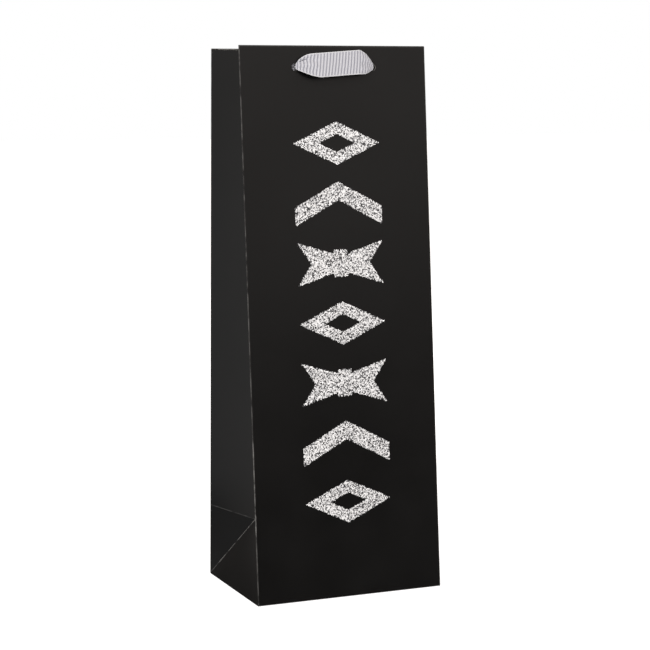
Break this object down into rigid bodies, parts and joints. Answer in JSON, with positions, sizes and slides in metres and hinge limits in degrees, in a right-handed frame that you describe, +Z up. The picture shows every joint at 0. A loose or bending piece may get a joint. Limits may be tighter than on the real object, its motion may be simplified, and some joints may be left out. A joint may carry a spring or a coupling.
{
  "type": "wine gift bag",
  "caption": "Tall black laminated paper bottle bag with pleated sides that narrow to the rim, glued base with a board, glitter shapes on the front and short silver ribbon handles.",
  "frame": {"origin": "middle of the base, on the surface that the bag stands on", "axes": "+Z up, +X to the right seen from the front, front panel with the glitter faces -Y"},
  "size_m": [0.13, 0.098, 0.3594],
  "materials": {
    "laminated_paper": "satin",
    "grey_card": "matte",
    "ribbon": "satin",
    "glitter": "gloss"
  },
  "bodies": {
    "base": {"left_front_pleat": "laminated_paper", "left_back_pleat": "laminated_paper", "right_front_pleat": "laminated_paper", "right_back_pleat": "laminated_paper", "left_front_pleat_hem": "laminated_paper", "left_back_pleat_hem": "laminated_paper", "right_front_pleat_hem": "laminated_paper", "right_back_pleat_hem": "laminated_paper", "left_foot": "laminated_paper", "left_front_foot_fold": "laminated_paper", "left_back_foot_fold": "laminated_paper", "right_foot": "laminated_paper", "right_front_foot_fold": "laminated_paper", "right_back_foot_fold": "laminated_paper", "front_bottom_flap": "laminated_paper", "back_bottom_flap": "laminated_paper", "left_bottom_tuck": "laminated_paper", "right_bottom_tuck": "laminated_paper", "base_board": "grey_card"},
    "front_wall": {"front_panel": "laminated_paper", "front_card": "grey_card", "front_hem": "laminated_paper", "front_knots": "ribbon", "glitter_motifs": "glitter"},
    "back_wall": {"back_panel": "laminated_paper", "back_card": "grey_card", "back_hem": "laminated_paper", "back_knots": "ribbon", "side_seam_lap": "laminated_paper"},
    "front_handle": {"front_handle": "ribbon"},
    "back_handle": {"back_handle": "ribbon"}
  },
  "joints": [
    {"name": "front_wall_turn", "type": "hinge", "parent": "base", "child": "front_wall", "pos_m": [0, -0.049, 0], "axis": [1, 0, 0], "range_deg": [-3.3, 3.4], "stiffness_Nm_per_rad": 1, "deforming": ["left_front_pleat", "right_front_pleat", "left_front_pleat_hem", "right_front_pleat_hem", "left_front_foot_fold", "right_front_foot_fold"]},
    {"name": "back_wall_turn", "type": "hinge", "parent": "base", "child": "back_wall", "pos_m": [0, 0.049, 0], "axis": [1, 0, 0], "range_deg": [-3.4, 3.3], "stiffness_Nm_per_rad": 1, "deforming": ["left_back_pleat", "right_back_pleat", "left_back_pleat_hem", "right_back_pleat_hem", "left_back_foot_fold", "right_back_foot_fold"]},
    {"name": "front_handle_swing", "type": "hinge", "parent": "front_wall", "child": "front_handle", "pos_m": [0, -0.02953, 0.34545], "axis": [-1, 0, 0], "range_deg": [-35, 20]},
    {"name": "back_handle_swing", "type": "hinge", "parent": "back_wall", "child": "back_handle", "pos_m": [0, 0.02953, 0.34545], "axis": [1, 0, 0], "range_deg": [-35, 20]}
  ],
  "couplings": [
    {"joint": "back_wall_turn", "follows": "front_wall_turn", "ratio": -1}
  ]
}
